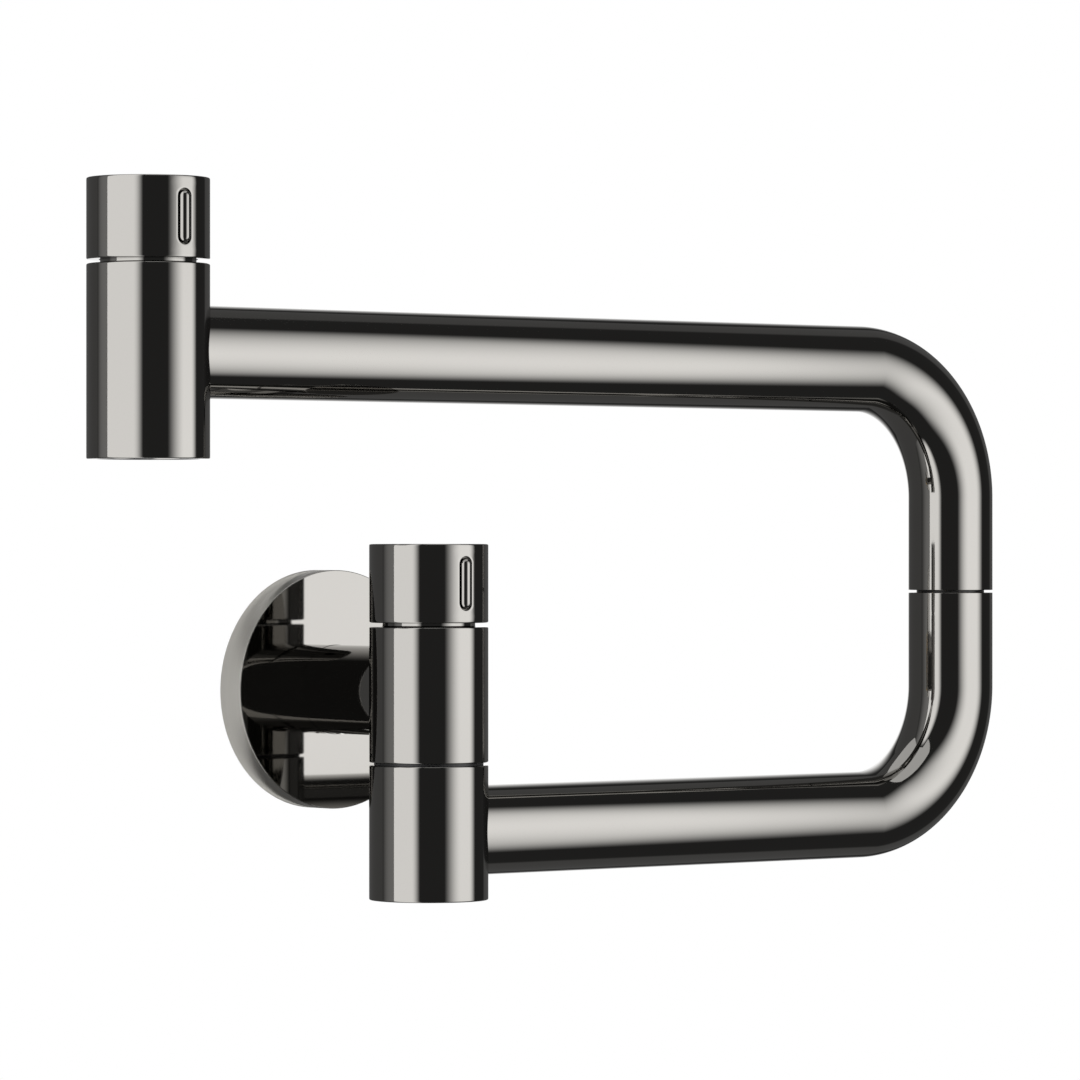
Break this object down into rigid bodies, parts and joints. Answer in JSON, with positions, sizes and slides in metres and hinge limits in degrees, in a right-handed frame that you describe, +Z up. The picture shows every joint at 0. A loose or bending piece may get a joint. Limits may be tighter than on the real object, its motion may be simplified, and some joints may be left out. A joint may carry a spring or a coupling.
{
  "type": "wall mounted pot filler",
  "caption": "Wall mounted pot filler: two jointed pipe arms on a valve column, with a quarter-turn knob at the wall and one at the outlet column.",
  "frame": {"origin": "on the inlet axis, at the face of the wall", "axes": "+X to the right along the wall, +Y into the wall along the inlet, +Z up"},
  "size_m": [0.2831, 0.0748, 0.1718],
  "materials": {
    "dark_platinum": "mirror-polished dark platinum plating, slightly warm grey",
    "turned_brass": "turned",
    "seal_rubber": "smooth",
    "valve_ceramic": "lapped ceramic",
    "stainless": "satin",
    "strainer": "rubber ring with a wire screen",
    "white_plastic": "moulded",
    "slip_ring_plastic": "smooth, low friction"
  },
  "bodies": {
    "wall_unit": {"wall_flange": "dark_platinum", "flange_ring": "seal_rubber", "flange_seal": "seal_rubber", "inlet_nipple": "turned_brass", "nipple_rings": "seal_rubber", "inlet_strainer": "strainer", "supply_stub": "dark_platinum", "stub_screw": "stainless", "valve_body": "dark_platinum", "wall_cartridge": "turned_brass", "wall_cartridge_seal": "seal_rubber", "wall_fixed_disc": "valve_ceramic", "swivel_spigot": "turned_brass", "swivel_rings": "seal_rubber", "swivel_slip_ring": "slip_ring_plastic", "swivel_retaining_ring": "stainless"},
    "wall_valve_knob": {"wall_knob": "dark_platinum", "wall_knob_inlay": "dark_platinum", "wall_knob_screw": "stainless", "wall_spindle": "turned_brass", "wall_moving_disc": "valve_ceramic"},
    "lower_arm": {"swivel_housing": "dark_platinum", "swivel_bush": "slip_ring_plastic", "swivel_end_plug": "dark_platinum", "lower_arm_pipe": "dark_platinum", "elbow_spigot": "turned_brass", "elbow_rings": "seal_rubber", "elbow_slip_ring": "slip_ring_plastic", "elbow_snap_ring": "stainless"},
    "upper_arm": {"upper_arm_pipe": "dark_platinum", "elbow_socket": "turned_brass", "outlet_body": "dark_platinum", "outlet_cartridge": "turned_brass", "outlet_cartridge_seal": "seal_rubber", "outlet_fixed_disc": "valve_ceramic", "aerator_housing": "dark_platinum", "aerator_insert": "white_plastic", "aerator_washer": "seal_rubber"},
    "outlet_valve_knob": {"outlet_knob": "dark_platinum", "outlet_knob_inlay": "dark_platinum", "outlet_knob_screw": "stainless", "outlet_spindle": "turned_brass", "outlet_moving_disc": "valve_ceramic"}
  },
  "joints": [
    {"name": "wall_valve_turn", "type": "hinge", "parent": "wall_unit", "child": "wall_valve_knob", "pos_m": [0, -0.0452, 0.0265], "axis": [0, 0, 1], "range_deg": [0, 90]},
    {"name": "lower_arm_swivel", "type": "hinge", "parent": "wall_unit", "child": "lower_arm", "pos_m": [0, -0.0452, -0.0338], "axis": [0, 0, 1], "range_deg": [-180, 0]},
    {"name": "elbow_swivel", "type": "hinge", "parent": "lower_arm", "child": "upper_arm", "pos_m": [0.174, -0.0452, 0.02365], "axis": [0, 0, 1], "range_deg": [-180, 180]},
    {"name": "outlet_valve_turn", "type": "hinge", "parent": "upper_arm", "child": "outlet_valve_knob", "pos_m": [-0.0836, -0.0452, 0.112], "axis": [0, 0, 1], "range_deg": [0, 90]}
  ]
}
